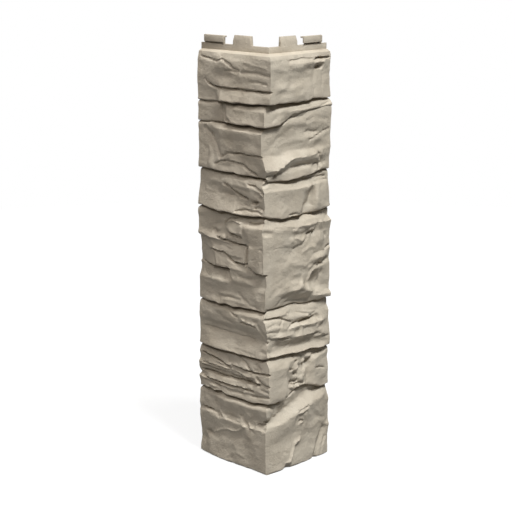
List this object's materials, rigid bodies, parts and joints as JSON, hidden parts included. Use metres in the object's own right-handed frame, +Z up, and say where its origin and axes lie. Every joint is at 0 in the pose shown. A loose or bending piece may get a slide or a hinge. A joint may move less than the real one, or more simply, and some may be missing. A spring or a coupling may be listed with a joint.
{
  "type": "faux stone outside corner",
  "caption": "Hollow L-shaped moulding that wraps the outside corner of a wall in a stacked rough stone face, with a tabbed nailing flange.",
  "frame": {"origin": "where the two wall planes that the corner wraps meet, level with the cut base", "axes": "+Z up along the wall corner, +X along the wall behind the right leg, +Y along the wall behind the left leg; the stone faces look to -X and -Y"},
  "size_m": [0.0964, 0.1083, 0.4353],
  "materials": {
    "stone_plastic": "matte, fine stone grain"
  },
  "bodies": {
    "root": {"corner_moulding": "stone_plastic"}
  },
  "joints": []
}
